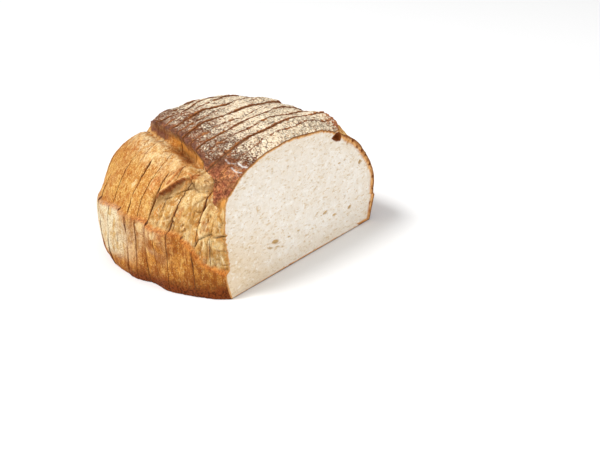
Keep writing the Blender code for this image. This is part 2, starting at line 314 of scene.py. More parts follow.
def section(angle, y, extra=0.0, edge_wander=0.0, rim_lift=0.0):
    """Points of the crust's outline, with the masks of its zones."""
    turn = np.radians(angle)
    cosine = np.cos(turn)
    sine = np.sin(turn)
    left = cosine < 0.0
    share = plan_share(y)
    half_width = HALF_WIDTH * share
    rise = crown_rise(y)

    wall_left = WALL_POWER + FRONT_WALL_SWELL * hump(y, FRONT_WALL_REACH)
    wall_right = WALL_POWER + (RIGHT_WALL_POWER - WALL_POWER) * (1.0 - smooth(y / RIGHT_WALL_REACH))
    wall = oval(cosine, sine, half_width, rise, np.where(left, wall_left, wall_right))
    lid_left = LID_POWER_FRONT - LID_POWER_FALL * y
    lid_right = RIGHT_LID_POWER - RIGHT_LID_LOSS * (1.0 - smooth(y / RIGHT_WALL_REACH))
    lid = LID_THICKNESS + oval(cosine, sine, half_width, rise, np.where(left, lid_left, lid_right))

    left_edge, right_edge = lid_edges(y)
    past_left = np.radians(angle - left_edge) * ARC_RADIUS + edge_wander
    past_right = np.radians(right_edge - angle) * ARC_RADIUS + edge_wander
    on_lid = smooth(0.5 - past_left / LID_EDGE_WIDTH) * smooth(0.5 - past_right / LID_EDGE_WIDTH)
    sunk = smooth((y - LID_FADE_Y) / (LID_END_Y - LID_FADE_Y))
    upper = wall + (lid - wall) * on_lid * (1.0 - sunk)

    end_fade = smooth((LOAF_LENGTH - y) / 0.05)
    left_furrow = hump(past_left - FURROW_OFFSET, FURROW_WIDTH)
    right_furrow = 0.7 * hump(past_right - FURROW_OFFSET, FURROW_WIDTH)
    furrow = (left_furrow + right_furrow) * smooth((y - 0.008) / 0.03) * end_fade
    furrow = furrow * (1.0 + FURROW_SWELL * hump(y - FURROW_SWELL_Y, FURROW_SWELL_REACH))
    below_ear = np.radians(angle - ear_line(y)) * ARC_RADIUS * EAR_SLANT
    crest = ear_window(y) * hump(below_ear, EAR_WIDTH)
    hollow = ear_window(y) * hump(below_ear - 2.0 * EAR_WIDTH, EAR_WIDTH)
    upper = upper - FURROW_DEPTH * furrow + EAR_HEIGHT * crest - EAR_HOLLOW * hollow
    upper = upper + RIGHT_EAR_HEIGHT * hump(past_right + 0.003, 0.004) * hump(y, RIGHT_EAR_REACH)
    upper = upper + FLAP_LIFT * hump(past_right - 0.003, FLAP_WIDTH) * hump(y - FLAP_Y, FLAP_REACH)
    upper = upper + DOME_SWELL * hump(angle - DOME_ANGLE, 14.0) * hump(y - DOME_Y, 0.022)
    upper = upper - NOTCH_DEPTH * hump(angle - NOTCH_ANGLE, 9.0) * hump(y - NOTCH_Y, 0.014)
    upper = upper - RIM_UNDERCUT * hump(past_left - 0.008, 0.006) * hump(y - RIM_UNDERCUT_Y, 0.018)
    sag = 0.0052 * hump(angle - 130.0, 14.0) + 0.003 * hump(angle - 97.0, 22.0)
    sag = sag + 0.0044 * hump(angle - 62.0, 13.0) - TIP_LIFT * hump(angle - TIP_ANGLE, 4.0)
    upper = upper - sag * np.exp(-y / CUT_EDGE_REACH)

    lower = oval(cosine, sine, half_width, BELLY_DEPTH * share ** BELLY_FALL, BELLY_POWER)
    swell = BUMP_HEIGHT * (np.sin(7.0 * turn + 95.0 * y) + np.sin(11.0 * turn - 150.0 * y + 1.3)
                           + np.sin(3.0 * turn + 210.0 * y + 0.5))
    foot = FOOT_SWELL * hump(angle - FOOT_ANGLE, 9.0) * hump(y - FOOT_Y, 0.03)
    radius = np.where(sine >= 0.0, upper, lower) + swell * end_fade + foot

    rim = BAND_HEIGHT - BAND_DIP * np.exp(-y / BAND_DIP_REACH) + rim_lift
    rim = rim - BAND_FALL * smooth((y - BAND_FALL_Y) / BAND_FALL_REACH)
    rim = rim - BAND_STEP / (1.0 + np.exp((y - BAND_STEP_Y) / BAND_STEP_REACH))
    above_rim = CORE_HEIGHT + radius * sine - rim
    in_band = smooth(0.5 - above_rim / BAND_SOFTNESS)
    ledge = BAND_THICKNESS + BAND_SWELL * hump(y - BAND_SWELL_Y, BAND_SWELL_REACH) * left
    radius = radius + ledge * in_band * smooth(1.0 + above_rim / BAND_FADE) * end_fade + extra

    depth = np.maximum(-sine, 1e-6)
    on_base = radius * depth >= CORE_HEIGHT
    radius = np.where(on_base, CORE_HEIGHT / depth, radius)
    x = core_x(y) + radius * cosine
    z = np.where(on_base, 0.0, CORE_HEIGHT + radius * sine)
    zones = {"lid": on_lid, "past_left": past_left, "past_right": past_right, "furrow": furrow,
             "crest": crest, "hollow": hollow, "band": in_band, "above_rim": above_rim,
             "below_ear": below_ear}
    return x, z, zones


def spread_lines(line, y):
    """Angle of a numbered mesh line at y: the lines follow the lid's edges."""
    left, right = lid_edges(y, NARROWEST_LID)
    start = np.full_like(y, -BASE_ANGLE)
    end = np.full_like(y, 180.0 + BASE_ANGLE)
    spans = [(RIGHT_WALL_LINES, start, right), (LID_LINES, right, left),
             (LEFT_WALL_LINES, left, end), (BASE_LINES, end, start + 360.0)]
    angle = start.copy()
    first = 0
    for count, low, high in spans:
        share = np.clip((line - first) / count, 0.0, 1.0)
        angle = np.where(line >= first, low + (high - low) * share, angle)
        first += count
    return angle


# ---------------- fine relief of the crust
# Strokes on the left side: width in mm, then depth in mm or strength, then corners as (angle, y in mm).
# creases, soft_hollow and shelter also darken the colour as painted shade; raised also lightens it as
# painted highlight
STROKES = {
    "creases": [
        (0.9, 2.0, [(174.5, 22.5), (171.4, 20.5), (167.6, 11.0), (169.0, 8.5), (166.8, -1.0)]),
        (0.7, 1.4, [(160.0, 9.5), (167.6, 8.5), (174.0, 10.5), (183.0, 9.5)]),
        (0.6, 1.8, [(158.8, 57.5), (156.8, 52.0), (154.0, 47.5), (151.6, 43.5), (150.4, 39.0)]),
        (0.6, 1.8, [(150.4, 39.0), (151.3, 33.0), (150.8, 27.5), (149.8, 24.5)]),
        (0.6, 1.8, [(146.8, 46.5), (148.4, 43.5), (150.4, 39.0)]),
        (0.6, 1.7, [(160.0, 15.5), (164.0, 17.0), (167.2, 17.0)]),
        (1.4, 2.6, [(135.4, 45.0), (139.6, 36.5), (143.4, 29.0), (147.0, 24.0)]),
        (0.7, 1.1, [(147.2, 34.5), (149.0, 31.5), (148.6, 27.5)]),
        (1.0, 1.6, [(131.5, 96.0), (133.8, 88.0), (133.0, 80.0)]),
        (1.1, 1.4, [(154.5, 19.0), (157.2, 15.0), (157.0, 8.0)]),
    ],
    "raised": [
        (1.3, 1.4, [(147.4, 48.6), (149.6, 52.0), (152.6, 56.0), (156.4, 60.8)]),
        (1.6, 1.3, [(143.0, 56.0), (147.5, 57.5), (151.8, 60.0)]),
        (1.4, 1.0, [(143.6, 42.0), (145.2, 44.5), (144.4, 48.0)]),
        (1.6, 1.0, [(150.4, 71.5), (153.4, 74.5), (155.4, 73.5)]),
        (1.4, 0.8, [(133.4, 86.5), (136.0, 90.0)]),
    ],
    "soft_hollow": [
        (3.4, 2.8, [(132.8, 79.0), (135.4, 69.0), (137.6, 59.0)]),
    ],
    "scratch": [
        (0.6, 1.0, [(134.6, 7.8), (135.8, 3.2), (135.2, 0.4)]),
        (0.36, 1.0, [(137.8, 8.8), (139.2, 4.2), (138.6, 1.2)]),
        (0.36, 0.75, [(134.8, 17.8), (136.2, 13.0), (135.2, 9.4)]),
    ],
    "scorch": [
        (1.1, 1.0, [(156.8, 59.2), (155.2, 57.5), (154.0, 55.5), (151.6, 53.0), (149.2, 50.0),
                    (147.4, 47.8)]),
        (1.5, 0.6, [(147.6, 62.2), (145.2, 58.5), (143.0, 55.6)]),
        (1.5, 0.75, [(146.4, 45.5), (145.6, 42.5), (145.4, 39.2)]),
        (1.1, 0.6, [(143.8, 42.5), (143.4, 39.5)]),
        (1.2, 0.7, [(141.2, 21.0), (143.4, 19.0)]),
    ],
    "shelter": [
        (3.4, 1.0, [(149.8, 43.0), (149.2, 36.0), (148.6, 30.0), (147.2, 25.5)]),
    ],
    "strand": [
        (1.1, 0.9, [(153.6, 31.5), (152.2, 27.0), (151.4, 23.2)]),
        (1.3, 0.9, [(155.4, 19.3), (160.0, 20.0), (166.0, 20.3)]),
        (1.2, 0.7, [(163.4, 52.0), (168.6, 51.2)]),
        (1.0, 0.9, [(141.0, 41.0), (143.2, 35.0), (145.2, 29.5)]),
        (0.8, 0.9, [(143.2, 38.5), (145.4, 33.0), (146.6, 29.0)]),
        (0.9, 0.8, [(138.4, 44.0), (140.2, 40.0), (141.6, 37.0)]),
        (1.7, 1.0, [(140.4, 45.5), (141.4, 40.0), (142.6, 34.5)]),
    ],
}
# Spots of darker bake and of pale dough on the left side: angle, y in mm, size in mm.
BROWN_SPOTS = [(155.6, 106.5, 3.6), (152.4, 72.0, 3.4), (144.0, 57.5, 3.2), (144.8, 43.0, 2.6),
               (162.0, 40.5, 3.0), (164.8, 59.5, 3.0), (165.2, 16.5, 3.6), (169.6, 126.5, 3.6),
               (171.6, 48.5, 3.4), (174.0, 41.0, 3.0), (176.4, 26.5, 3.4), (180.8, 15.5, 3.6),
               (147.2, 61.5, 2.2), (151.2, 109.0, 3.0), (141.0, 118.0, 3.4), (152.6, 56.0, 2.0)]
PALE_SPOTS = [(156.4, 41.5, 3.4), (168.4, 28.0, 3.6), (172.4, 4.0, 5.0), (140.8, 49.0, 4.4),
              (141.6, 66.5, 4.6), (172.6, 56.0, 2.6), (173.4, 72.5, 3.4), (152.8, 28.0, 3.6),
              (142.0, 89.5, 5.6), (165.4, 34.5, 3.0), (158.0, 94.0, 3.4), (147.0, 33.0, 3.0)]


def strokes_at(strokes, arc, y):
    """Height or strength of a list of strokes at each point, soft-edged along their corners."""
    total = np.zeros_like(arc)
    for width, depth, corners in strokes:
        places = [np.array([math.radians(angle) * ARC_RADIUS, 0.001 * length]) for angle, length in corners]
        stroke = np.zeros_like(arc)
        for first, last in zip(places, places[1:]):
            step = last - first
            share = ((arc - first[0]) * step[0] + (y - first[1]) * step[1]) / (step @ step)
            share = np.clip(share, 0.0, 1.0)
            gap = np.hypot(arc - first[0] - share * step[0], y - first[1] - share * step[1])
            stroke = np.maximum(stroke, hump(gap, 0.001 * width))
        total = np.maximum(total, stroke * depth)
    return total


def spotted(spots, arc, y, wander):
    """1 inside any of the listed spots, which are longer round the loaf and ragged at their rims."""
    total = np.zeros_like(arc)
    for angle, middle, size in spots:
        gap = 1000.0 * np.hypot((arc - math.radians(angle) * ARC_RADIUS) / SPOT_LENGTH, y - 0.001 * middle)
        total = np.maximum(total, smooth((size * (1.0 + 0.9 * wander) - gap) / (0.7 * size)))
    return total


# Cuts that stay shut between the lid and this angle on both walls, and the width of the change.
SHUT_ABOVE = {2: (153.0, 5.0), 4: (156.0, 6.0), 7: (154.0, 5.0), 8: (142.0, 7.0)}


def cut_openness(cut, angle, lid, arc_place):
    """How widely a numbered cut gapes at the crust, from 0 to about 3."""
    strong = cut % 2 == 0
    down = np.maximum(angle, 180.0 - angle)
    on_wall = ((0.66 if cut > 4 else 0.22) if strong else 0.14) * (1.0 if cut <= 8 else 0.04)
    on_wall = on_wall * (1.0 - 0.45 * smooth((90.0 - angle) / 20.0))
    on_top = 0.5 if strong else 0.26
    openness = on_wall + (on_top - on_wall) * lid
    openness = openness * (0.8 + 1.1 * cloud(arc_place, 0.016, 97 + cut)
                           + 0.9 * cloud(arc_place, 0.0045, 131 + cut))
    if cut == 8:
        openness = openness + 0.16 * (1.0 - lid)
    if cut in SHUT_ABOVE:
        limit, width = SHUT_ABOVE[cut]
        openness = openness * np.maximum(lid, smooth((down - limit) / width))
    if cut == 6:
        openness = 0.8 * openness + 2.6 * hump(angle - 160.5, 4.0) + 1.3 * hump(angle - 151.0, 3.2)
    if cut == 2:
        openness = openness + 0.2 * hump(angle - 162.0, 5.0)
    return np.clip(openness, 0.0, 3.2)


def crust_surface(angle, y, index, along, mouths):
    """Places and colour masks of the crust points of one slice."""
    rim_lift = 0.0011 * math.sin(2.1 * index + 0.6) * (index > 1)
    x, z, _ = section(angle, y, rim_lift=rim_lift)
    points = stacked(x, y, z)
    arc = np.radians(angle) * ARC_RADIUS
    flat = stacked(arc, y)
    wander = 0.0016 * rough(flat, 0.0075, 31)
    _, _, zones = section(angle, y, edge_wander=wander, rim_lift=rim_lift)
    zones["lid"] = zones["lid"] * smooth((LID_END_Y - y) / 0.0015)
    lid = zones["lid"]
    on_left = angle > 90.0

    # the lid: floured plates with cracks between them, tilted over each pair of slices
    near, next_near, draw = cells(points + 0.0007 * cloud(points, 0.003, 13)[:, None], PLATE_SIZE, 11)
    plate = smooth((next_near - near) / 0.26)
    crack = (1.0 - plate) * smooth(0.55 + 0.8 * rough(points, 0.015, 5))
    pair_share = ((index % 2) + along) / 2.0
    lid_relief = 0.0003 * rough(points, 0.0046, 3) + 0.00026 * draw - 0.0005 * crack
    rim = smooth(1.0 + zones["past_left"] / 0.006) * lid
    lid_relief = lid_relief + rim * (0.0014 * cloud(points, 0.005, 71) + 0.0006 * cloud(points, 0.0022, 73))
    lid_relief = lid_relief + SLICE_TILT * (0.5 - pair_share) + 0.0004 * cloud(flat, 0.012, 15 + index)

    # the golden walls
    patch = rough(points, 0.017, 17)
    fine = cloud(points, 0.0017, 23)
    wall_relief = 0.00036 * rough(points, 0.0065, 19, 4) + 0.00016 * fine

    # the stretched and torn zone under the flap
    upper_limit = np.where(y < EAR_START_Y - 0.004, zones["past_left"] - 0.003, zones["below_ear"] - 0.003)
    torn = smooth((TORN_END_Y - y) / 0.01) * smooth(upper_limit / 0.004)
    torn = torn * smooth((zones["above_rim"] + 0.0012) / 0.003) * on_left
    drift = 0.0016 * rough(flat, 0.008, 45, 2)
    stretched = stacked(arc / 4.0 + drift, y + drift)
    ridges = rough(stretched, 0.0038, 41)
    slanted = stacked((arc - 0.8 * y) / 2.5, y + 0.3 * arc + drift)
    folds = most(creased(stretched, 0.005, 43, 0.15), 0.8 * creased(slanted, 0.0062, 49, 0.1))
    torn_relief = 0.00065 * ridges - 0.0012 * folds + 0.00045 * rough(flat, 0.0042, 47)

    # the band round the foot
    bubble, _, _ = cells(points, BUBBLE_SIZE, 53)
    band_relief = 0.0002 * (0.6 - bubble) + 0.00035 * rough(stacked(arc / 3.0, y), 0.0045, 61)

    relief = wall_relief + (torn_relief - wall_relief) * torn
    relief = relief + (band_relief - relief) * zones["band"]
    relief = relief + (lid_relief - relief) * lid
    strokes = {name: strokes_at(listed, arc, y) * on_left for name, listed in STROKES.items()}
    relief = relief - 0.001 * (strokes["creases"] + strokes["soft_hollow"] - strokes["raised"])
    relief = relief - 0.0019 * strokes["shelter"] + 0.0006 * strokes["strand"]

    # the furrow runs out before the heel's tip
    relief = relief + FURROW_DEPTH * zones["furrow"] * smooth((y - FURROW_END_Y) / FURROW_END_REACH)

    # each slice stands a little in or out
    along_cut = stacked(arc, index * 0.5)
    relief = relief + SLICE_STAND * (1.0 + torn) * cloud(along_cut, 0.019, 83 + index)

    # its cut edges are rounded off and torn
    lip, slit, bare = np.zeros((3, len(y)))
    bare_reach = 0.0009 + 0.0013 * rough(points, 0.0046, 91)
    for gape, distance in mouths:
        edge = np.clip(1.0 - distance / (0.0005 + 0.0006 * gape), 0.0, 1.0)
        relief = relief - 0.001 * gape * edge ** 2
        slit = most(slit, smooth(gape * 1.2) * smooth(1.2 - distance / 0.00026))
        lip = most(lip, smooth(gape * 1.4) * smooth(1.5 - distance / (0.0006 + 0.0003 * fine)))
        bare = most(bare, smooth(0.5 + gape) * smooth((bare_reach - distance) / 0.0007 + 0.5))

    fade = smooth((LOAF_LENGTH - y) / 0.004 + 0.4)
    x, z, _ = section(angle, y, relief * fade, wander, rim_lift)
    zones.update(strokes, torn=torn, crack=crack * lid, plate=plate, ridges=ridges, folds=folds, patch=patch,
                 fine=fine, lip=lip, slit=slit, bare=bare,
                 brown_spot=spotted(BROWN_SPOTS, arc, y, rough(points, 0.004, 87)) * on_left,
                 pale_spot=spotted(PALE_SPOTS, arc, y, rough(points, 0.004, 89)) * on_left)
    return x, z, zones


# ---------------- the cut face
# Layers of small pores: pitch, the draw that a cell needs, widest pore, depth as a share, seed.
SMALL_PORES = [(0.0023, -0.2, 0.34, 0.5, 211), (0.0042, 0.1, 0.28, 0.8, 223), (0.009, 0.45, 0.17, 1.0, 241)]
# Larger pores of the face, in mm: across, height, length, width, tilt in degrees, depth.
LARGE_PORES = [
    (-31.0, 27.5, 5.2, 2.1, -14.0, 2.4),
    (-37.5, 24.5, 5.0, 0.9, -20.0, 1.2),
    (-29.0, 22.5, 3.8, 0.8, -8.0, 1.2),
    (-14.5, 25.5, 2.6, 1.0, -10.0, 1.2),
    (32.0, 29.5, 4.2, 1.5, 10.0, 1.6),
    (44.5, 23.0, 3.6, 1.4, 0.0, 1.6),
    (65.5, 22.5, 3.6, 1.9, 10.0, 2.0),
    (17.5, 55.0, 2.2, 1.3, 20.0, 0.9),
    (78.5, 59.5, 2.6, 2.2, 60.0, 2.2),
    (50.0, 67.5, 2.6, 1.0, 0.0, 1.0),
    (60.0, 82.0, 1.9, 1.4, 40.0, 1.8),
    (-3.0, 26.5, 2.2, 0.9, -10.0, 1.0),
    (-51.5, 62.5, 1.5, 5.0, 12.0, 0.7),
    (-23.0, 20.0, 2.4, 0.8, -10.0, 1.0),
]
RIND_PITS = [(73.5, 74.5), (86.5, 64.0), (92.5, 53.0), (97.5, 40.0), (98.5, 29.0), (95.0, 16.0),
             (67.0, 82.0), (81.0, 69.0)]
POCKET = [(39.2, 92.2), (44.0, 95.2), (49.0, 94.8), (50.8, 90.8), (50.0, 87.2), (45.0, 88.2)]
POCKET_DEPTH = 0.0052


def inside_pocket(x, z):
    """Distance inside the pocket's outline, negative outside it."""
    depth = np.full_like(x, 1.0)
    corners = [(0.001 * across, 0.001 * height) for across, height in POCKET]
    for (x_a, z_a), (x_b, z_b) in zip(corners, corners[1:] + corners[:1]):
        length = math.hypot(x_b - x_a, z_b - z_a)
        depth = np.minimum(depth, ((x - x_a) * (z_b - z_a) - (z - z_a) * (x_b - x_a)) / length)
    return depth


def small_pores(points):
    """Depth, as a share, of the crumb's many small pores."""
    depth = np.zeros(len(points))
    flat = points * np.array([0.5, 0.0, 1.0]) + 0.0005 * cloud(points, 0.002, 7)[:, None]
    for size, chance, widest, share, seed in SMALL_PORES:
        near, _, draw = cells(flat, size, seed)
        here = (draw > chance) * widest * (0.45 + 0.55 * (draw - chance) / (1.0 - chance))
        pore = smooth((here - near) / np.maximum(here, 1e-6) * 1.4) * (here > 0.0)
        depth = np.maximum(depth, share * pore)
    return depth


def large_pores(x, z):
    """Depth in metres of the named pores of the face."""
    depth = np.zeros_like(x)
    for middle_x, middle_z, length, width, tilt, deep in LARGE_PORES:
        cosine = math.cos(math.radians(tilt))
        sine = math.sin(math.radians(tilt))
        right = 1000.0 * x - middle_x
        above = 1000.0 * z - middle_z
        gap = np.hypot((right * cosine + above * sine) / length, (above * cosine - right * sine) / width)
        depth = most(depth, 0.001 * deep * smooth(1.6 - 1.6 * gap))
    for middle_x, middle_z in RIND_PITS:
        gap = np.hypot(1000.0 * x - middle_x, 1000.0 * z - middle_z)
        depth = most(depth, 0.0022 * smooth(1.7 - gap))
    return depth


def rind_thickness(angle):
    """Thickness of the baked crust as it shows on the cut face."""
    right = smooth((58.0 - angle) / 16.0)
    left = smooth((angle - 146.0) / 12.0)
    return 0.0023 + 0.004 * right - 0.0008 * left


# ---------------- shader groups
def new_group(name, numbers, masks):
    """Starts a shader node group that turns a place and some numbers into masks."""
    group = bpy.data.node_groups.new(name, "ShaderNodeTree")
    group.interface.new_socket(name="Place", in_out="INPUT", socket_type="NodeSocketVector")
    for socket, value in numbers.items():
        made = group.interface.new_socket(name=socket, in_out="INPUT", socket_type="NodeSocketFloat")
        made.default_value = value
    for socket in masks:
        group.interface.new_socket(name=socket, in_out="OUTPUT", socket_type="NodeSocketFloat")
    given = group.nodes.new("NodeGroupInput")
    out = group.nodes.new("NodeGroupOutput")
    return group, Tree(group), given.outputs, out.inputs


def shade(red, green, blue):
    """A colour as it shows on screen, 0 to 255, turned into light."""
    def one(value):
        value = value / 255.0
        return value / 12.92 if value <= 0.04045 else ((value + 0.055) / 1.055) ** 2.4
    return (one(red), one(green), one(blue), 1.0)


class Tree:
    """Short ways to add and join shader nodes.  Colours are given as they show on screen."""

    def __init__(self, tree):
        self.nodes = tree.nodes
        self.links = tree.links

    def join(self, source, target):
        """Links a socket, or sets a plain value or colour."""
        if isinstance(source, tuple) and target.type == "RGBA":
            target.default_value = shade(*source)
        elif isinstance(source, (int, float, tuple)):
            target.default_value = source
        else:
            self.links.new(source, target)

    def fill(self, node, inputs):
        """Joins a node's inputs, given by name or number."""
        for name, value in inputs.items():
            self.join(value, node.inputs[name])
        return node

    def noise(self, place, scale, detail=3.0, roughness=0.55, distortion=0.0):
        """Noise from 0 to 1."""
        node = self.nodes.new("ShaderNodeTexNoise")
        self.fill(node, {"Vector": place, "Scale": scale, "Detail": detail, "Roughness": roughness,
                         "Distortion": distortion})
        return node.outputs["Fac"]

    def bent(self, place, scale, reach):
        """The place pushed about by noise, so that a pattern's lines wander."""
        node = self.fill(self.nodes.new("ShaderNodeTexNoise"), {"Vector": place, "Scale": scale})
        moved = self.nodes.new("ShaderNodeVectorMath")
        moved.operation = "MULTIPLY_ADD"
        self.fill(moved, {0: node.outputs["Color"], 1: (reach, reach, reach), 2: place})
        return moved.outputs["Vector"]

    def voronoi(self, place, scale, feature="F1"):
        """Distances in a cell pattern."""
        node = self.nodes.new("ShaderNodeTexVoronoi")
        node.feature = feature
        return self.fill(node, {"Vector": place, "Scale": scale}).outputs["Distance"]

    def math(self, operation, first, second=0.0, clamp=False):
        """A sum or other calculation."""
        node = self.nodes.new("ShaderNodeMath")
        node.operation = operation
        node.use_clamp = clamp
        return self.fill(node, {0: first, 1: second}).outputs[0]

    def span(self, value, low, high, new_low=0.0, new_high=1.0):
        """Turns one range of values smoothly into another."""
        node = self.nodes.new("ShaderNodeMapRange")
        node.interpolation_type = "SMOOTHSTEP"
        return self.fill(node, {0: value, 1: low, 2: high, 3: new_low, 4: new_high}).outputs[0]

    def mix(self, share, first, second):
        """Mixes two colours."""
        node = self.nodes.new("ShaderNodeMix")
        node.data_type = "RGBA"
        return self.fill(node, {0: share, 6: first, 7: second}).outputs[2]

    def tones(self, pattern, low, high, first, second):
        """Two colours in a pattern."""
        return self.mix(self.span(pattern, low, high), first, second)

    def mask(self, name):
        """A mask kept on the mesh."""
        node = self.nodes.new("ShaderNodeAttribute")
        node.attribute_name = name
        return node.outputs["Fac"]

    def layers(self, colour, rows):
        """Lays tints over a colour: a mask or pattern, its share or its span and share, and the tint."""
        for source, *share, tint in rows:
            if isinstance(source, str):
                source = self.mask(source)
            if len(share) == 1:
                source = self.math("MULTIPLY", source, share[0])
            elif share:
                source = self.span(source, share[0], share[1], 0.0, share[2])
            colour = self.mix(source, colour, tint)
        return colour

    def place(self, stretch=None):
        """The place on the object, in metres, stretched if asked."""
        place = self.nodes.new("ShaderNodeTexCoord").outputs["Object"]
        if stretch is None:
            return place
        mapping = self.nodes.new("ShaderNodeMapping")
        return self.fill(mapping, {"Vector": place, "Scale": stretch}).outputs["Vector"]

    def group(self, group, **values):
        """Places a node group with its own values."""
        node = self.nodes.new("ShaderNodeGroup")
        node.node_tree = group
        return self.fill(node, values).outputs

    def bump(self, height, strength, shader):
        """Gives the shader a fine relief."""
        node = self.nodes.new("ShaderNodeBump")
        self.fill(node, {"Strength": strength, "Distance": 0.0008, "Height": height})
        self.join(node.outputs["Normal"], shader.inputs["Normal"])


def baked_mottle_group():
    """Patchy browning: a mask of darker bakes with fine specks in it."""
    group, tree, given, out = new_group("baked_mottle", {"Patch": 90.0, "Speck": 700.0},
                                        ("Browning", "Blotch", "Speckle"))
    place = given["Place"]
    broad = tree.noise(place, given["Patch"], 4.0, 0.6, 0.3)
    blotch = tree.noise(place, tree.math("MULTIPLY", given["Patch"], 2.6), 3.0, 0.6, 0.6)
    fine = tree.noise(place, given["Speck"], 2.0, 0.6)
    tree.join(tree.span(broad, 0.36, 0.64), out["Browning"])
    tree.join(tree.span(blotch, 0.5, 0.64), out["Blotch"])
    tree.join(tree.span(fine, 0.42, 0.66), out["Speckle"])
    return group


def flour_dust_group():
    """Where flour lies: flecks that thicken with the density, broken by fine cracks."""
    group, tree, given, out = new_group("flour_dust", {"Density": 0.5, "Plate": 1.0},
                                        ("Flour", "Grain", "Crackle"))
    place = given["Place"]
    flecks = tree.noise(place, 380.0, 4.0, 0.72, 0.8)
    bent = tree.bent(place, 260.0, 0.003)
    edges = tree.span(tree.voronoi(bent, 190.0, "DISTANCE_TO_EDGE"), 0.075, 0.02)
    crackle = tree.math("MULTIPLY", edges, tree.span(tree.noise(place, 120.0, 2.0), 0.47, 0.56))
    level = tree.math("ADD", flecks, tree.math("MULTIPLY", given["Plate"], 0.07))
    threshold = tree.math("SUBTRACT", 0.772, tree.math("MULTIPLY", given["Density"], 0.375))
    rise = tree.math("DIVIDE", tree.math("SUBTRACT", level, threshold), 0.034)
    patches = tree.math("ADD", rise, 0.5, clamp=True)
    holes = tree.span(tree.noise(place, 560.0, 3.0, 0.7, 0.5), 0.465, 0.395)
    patches = tree.math("SUBTRACT", patches, holes, clamp=True)
    winding = tree.math("ABSOLUTE", tree.math("SUBTRACT", tree.noise(bent, 300.0, 2.0, 0.5, 1.0), 0.5))
    sparse = tree.span(given["Density"], 0.1, 0.4)
    curls = tree.math("MULTIPLY", tree.span(winding, 0.04, 0.016), sparse)
    tree.join(tree.math("MAXIMUM", patches, curls), out["Flour"])
    tree.join(tree.span(tree.noise(place, 1100.0, 2.0, 0.6), 0.35, 0.65), out["Grain"])
    tree.join(crackle, out["Crackle"])
    return group


def new_material(name):
    """An empty material with its Principled shader."""
    material = bpy.data.materials.new(name)
    material.use_nodes = True
    shader = material.node_tree.nodes["Principled BSDF"]
    return material, Tree(material.node_tree), shader


